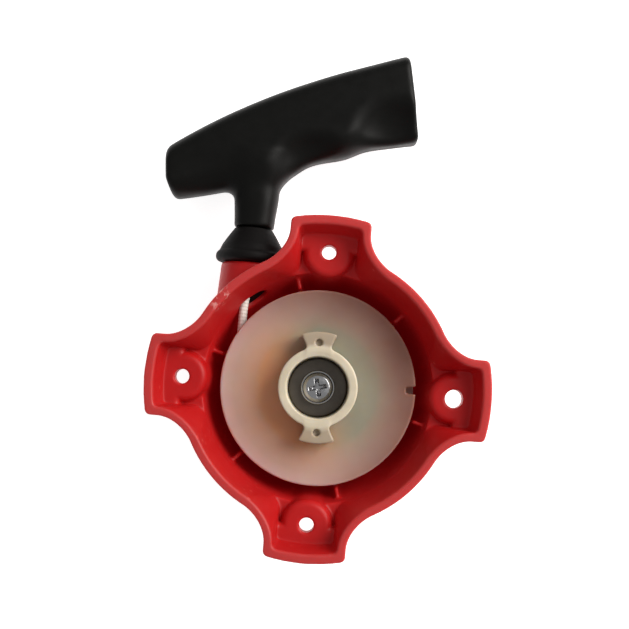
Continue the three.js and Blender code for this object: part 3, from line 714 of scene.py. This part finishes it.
# The wound rope: two turns side by side, then two on top of them, then the last part turn.
COIL_TURNS = 4.85
COIL_R = 21.2
COIL_Z = 15.9
coil_path = []
for i in range(int(COIL_TURNS * 60) + 1):
    t = i / 60
    radius = COIL_R + 2.75 * smooth_step(t, 1.92, 2.08) + 2.9 * smooth_step(t, 3.95, 4.15)
    height = COIL_Z + 3.05 * (smooth_step(t, 0.92, 1.08) - smooth_step(t, 2.92, 3.08))
    height += 1.45 * smooth_step(t, 4.5, 4.7)
    coil_path.append(circle_point(radius, 270 + 360 * (COIL_TURNS - t), height))
rope_coil = rope_piece("rope_wound", coil_path, ROPE, 0.5, 16)
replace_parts(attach(rope_coil, "reel"), "rope_coil")


def knot_path(centre, size, squash):
    """A trefoil, the path of an overhand knot pulled up."""
    points = []
    for i in range(121):
        a = 2 * math.pi * i / 120 * 0.985
        points.append((
            centre[0] + size * (math.sin(a) + 2 * math.sin(2 * a)) / 3 * squash[0],
            centre[1] + size * (math.cos(a) - 2 * math.cos(2 * a)) / 3 * squash[1],
            centre[2] - size * math.sin(3 * a) * squash[2],
        ))
    return points


knot_at = (ROPE_X, TAIL_END_Y + 0.3 + 3.8, ROPE_Z)
handle_knot = rope_piece("stopper_knot", knot_path(knot_at, 2.4, (1, 0.95, 0.7)), ROPE, 0.3, 16)
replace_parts(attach(handle_knot, "rope_end"), "handle_knot")


# ---- Handle ----

# The bar's two long edges seen from above. The first and last points only steer the curves.
BAR_TOP = [
    (-71, 69.5), (-57.8, 80.2), (-41.3, 91), (-23.3, 100.6), (-5.2, 108.4), (9.9, 113.8), (21.9, 117.9),
    (36, 122.4),
]
BAR_UNDER = [
    (-68, 60.2), (-56, 61.8), (-45, 64.2), (-33, 67.4), (-19, 70.8), (-9, 77.6), (2.5, 81), (10, 84.5),
    (19, 86.5), (27.9, 88.3), (40, 90),
]
LEFT_END = ((-59.9, 80.2), (-58.6, 68), (-56, 61.8))
RIGHT_END = ((22.4, 117.9), (28.2, 88.3))
BAR_ANGLE = math.atan2(32.0, 81.8)
BAR_START = (-56.5, 70.0)
# Finger hollows, in mm: centre along the bar, across it and out from its middle, then half
# sizes, then how far the edge is rounded.
HOLLOWS = [
    ((12.0, -14.5, 15.5), (20.0, 14.5, 9.0), 3.5),
    ((45.5, -14.0, 14.0), (15.0, 14.5, 9.5), 1.8),
    ((76.5, -15.0, 14.0), (16.0, 18.5, 9.8), 1.8),
]


def curve_through(points, steps=8):
    """Catmull-Rom points through the given ones."""
    p = [np.array(q, float) for q in points]
    out = []
    for a, b, c, d in zip(p, p[1:], p[2:], p[3:]):
        for k in range(steps):
            t = k / steps
            bend = 2 * a - 5 * b + 4 * c - d
            twist = 3 * b - a - 3 * c + d
            out.append(0.5 * (2 * b + (c - a) * t + bend * t * t + twist * t ** 3))
    out.append(p[-2])
    return [tuple(q) for q in out]


def half_plane(x, y, line, inside):
    """Signed distance to a line, negative on the side of the point inside."""
    (ax, ay), (bx, by) = line
    nx, ny = by - ay, ax - bx
    length = math.hypot(nx, ny)
    sign = -1 if (inside[0] - ax) * nx + (inside[1] - ay) * ny > 0 else 1
    return sign * ((x - ax) * nx + (y - ay) * ny) / length


def grip_shape(f):
    x, y, z = f.x, f.y, f.z
    dz = np.abs(z - ROPE_Z)
    c, s = math.cos(BAR_ANGLE), math.sin(BAR_ANGLE)
    along = (x - BAR_START[0]) * c + (y - BAR_START[1]) * s
    across = (y - BAR_START[1]) * c - (x - BAR_START[0]) * s
    top = [BAR_TOP[0]] + curve_through(BAR_TOP) + [BAR_TOP[-1]]
    under = [BAR_UNDER[0]] + curve_through(BAR_UNDER) + [BAR_UNDER[-1]]
    side = outline(x, y, top + under[::-1])
    half = 9.2 + 1.2 * np.clip(along / 88, 0, 1)
    edge = 5.0 + 3.6 * smooth_step(-across, -4.0, 10.0)
    bar = round_both(side, dz - half, edge)
    middle = (-15, 88)
    ends = both(half_plane(x, y, LEFT_END[:2], middle), half_plane(x, y, LEFT_END[1:], middle),
                half_plane(x, y, RIGHT_END, middle))
    bar = round_both(bar, ends, 1.8)
    for (a, b, d), (ra, rb, rd), soft in HOLLOWS:
        reach = np.sqrt(((along - a) / ra) ** 2 + ((across - b) / rb) ** 2 + ((dz - d) / rd) ** 2)
        bar = round_both(bar, (1 - reach) * min(ra, rb, rd), soft)
    dx = np.abs(x - ROPE_X)
    swell = STEM_R + 0.3 + 0.8 * smooth_step(y, 54, 66)
    stem = ((dx / swell) ** 2.6 + (dz / swell) ** 2.6) ** (1 / 2.6) - 1
    stem = both(stem * STEM_R, BELL_TOP_Y + 0.3 - y, y - 78)
    body = round_join(bar, stem, 4.0)
    spigot = both(np.hypot(dx, dz) - SPIGOT_R, BELL_LOW_Y + 1.4 - y, y - 60)
    body = joined(body, spigot)
    pocket = both(dx - 6, 78 - y, y - 90, z - (ROPE_Z + 5.6))
    bore = both(np.hypot(dx, dz) - 2.2, y - 79)
    return both(body, -pocket, -bore)


field = Field((-62, 41, 4.5), (31, 120.4, 30.2), 0.45)
grip = moulded("handle_bar", field, grip_shape(field), 2, GRIP)
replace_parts(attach(grip, "handle"), "handle_grip")


def bell_shape(f):
    r = np.hypot(f.x - ROPE_X, f.z - ROPE_Z)
    low, top = BELL_LOW_Y, BELL_TOP_Y
    return outline(r, f.y, [
        (SPIGOT_R + 0.3, low), (BELL_R - 0.6, low), (BELL_R + 0.2, low + 0.9),
        (BELL_R + 0.3, low + 2.4), (BELL_R - 0.1, low + 3.3), (BELL_R - 0.8, low + 3.8),
        (BELL_R - 1.6, low + 5.9), (BELL_R - 2.9, low + 8.1), (BELL_R - 4.3, low + 10.3),
        (STEM_R + 0.4, top - 0.8), (STEM_R, top), (SPIGOT_R + 0.3, top),
    ]) + f.z * 0


field = Field((-40.6, 40, 3.8), (-13.4, 54.8, 31), 0.3)
bell = moulded("handle_collar", field, bell_shape(field), 2, RUBBER)
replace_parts(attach(bell, "handle"), "handle_bell")


def eyelet_shape(f):
    """A sleeve in the spout, and a plug that fills the outlet a little below the wall's face."""
    rod = np.hypot(f.x - ROPE_X, f.z - ROPE_Z)
    sleeve = both(rod - 4.2, 34.1 - f.y, f.y - SPOUT_Y + 0.2)
    face = np.hypot(f.x, f.y) - (BASE_R + (f.z - FLOOR_Z) * WALL_SLOPE - WALL + 1.0)
    plug = both(np.hypot(f.x - MOUTH_X, f.z - MOUTH_Z) - MOUTH_R + 0.25, -face, f.y - 34.8)
    pull = np.hypot(f.x - PULL_X, f.z - ROPE_Z)
    return both(joined(sleeve, plug), 1.75 - rod, 2.3 - pull)


field = Field((-32.6, 24.4, 11.0), (-19.4, 42, 23), 0.25)
eyelet = moulded("outlet_eyelet", field, eyelet_shape(field), 1, RUBBER)
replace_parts(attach(eyelet, "case"), "rope_eyelet")


# ---- CAD pieces that stay ----

def dressed(node, material, bevel=0.15):
    """A CAD node with its real finish and softened edges."""
    piece = NODES[node]
    piece.data.materials.clear()
    piece.data.materials.append(material)
    softened_edges = piece.modifiers.new("edges", "BEVEL")
    softened_edges.width = bevel * MM
    softened_edges.segments = 2
    softened_edges.limit_method = "ANGLE"
    softened_edges.angle_limit = math.radians(40)


dressed("post_insert", BRASS)
dressed("axle_sleeve", STEEL)
dressed("spring_case", SHEET_STEEL)
dressed("spring_cover", SHEET_STEEL, 0.1)
dressed("recoil_spring", SPRING_STEEL, 0.05)
dressed("fibre_washer", FIBRE, 0.08)
dressed("reel_knot", ROPE, 0.1)
dressed("knot_washer", STEEL)
dressed("knot_cover", GRIP, 0.5)


# ---- Floor, light and camera ----

def flat_material(name, colour, glow):
    look = Look(name, Roughness=0.9)
    look.shader.inputs["Base Color"].default_value = (*colour, 1)
    look.shader.inputs["Emission Color"].default_value = (1, 1, 1, 1)
    look.shader.inputs["Emission Strength"].default_value = glow
    return look.material


HALF = 30
FLOOR_DROP = 0.0002
floor = new_object("floor", [(-HALF, -HALF, 0), (HALF, -HALF, 0), (HALF, HALF, 0), (-HALF, HALF, 0)],
                   [(0, 1, 2, 3)], flat_material("floor", (0.86, 0.86, 0.86), 0.8), False)
floor.location.z = -FLOOR_DROP


def softbox(name, place, target, size, power, colour):
    lamp = bpy.data.lights.new(name, "AREA")
    lamp.shape = "DISK"
    lamp.size = size
    lamp.energy = power
    lamp.color = colour
    holder = bpy.data.objects.new(name, lamp)
    holder.location = place
    holder.rotation_euler = (Vector(target) - Vector(place)).to_track_quat("-Z", "Y").to_euler()
    bpy.context.scene.collection.objects.link(holder)


softbox("key", (0.66, 0.40, 0.60), (0, 0.02, 0.02), 0.75, 11.6, (1.0, 0.97, 0.94))

world = bpy.data.worlds.new("room")
world.use_nodes = True
world.node_tree.nodes["Background"].inputs["Color"].default_value = (1, 1, 1, 1)
world.node_tree.nodes["Background"].inputs["Strength"].default_value = 0.40
bpy.context.scene.world = world

bpy.context.scene.view_settings.view_transform = "Standard"

ROLL = math.radians(4.8)
AIM = Vector((-0.0032, 0.0247, 0.026))
EYE = Vector((0.0, 0.0, 0.385))
LENS = 60.3
camera_data = bpy.data.cameras.new("camera")
camera_data.sensor_width = 36
camera_data.lens = LENS
camera = bpy.data.objects.new("camera", camera_data)
back = (EYE - AIM).normalized()
up = Vector((-math.sin(ROLL), math.cos(ROLL), 0))
right = up.cross(back).normalized()
up = back.cross(right)
camera.matrix_world = Matrix.Translation(EYE) @ Matrix((right, up, back)).transposed().to_4x4()
bpy.context.scene.collection.objects.link(camera)
bpy.context.scene.camera = camera
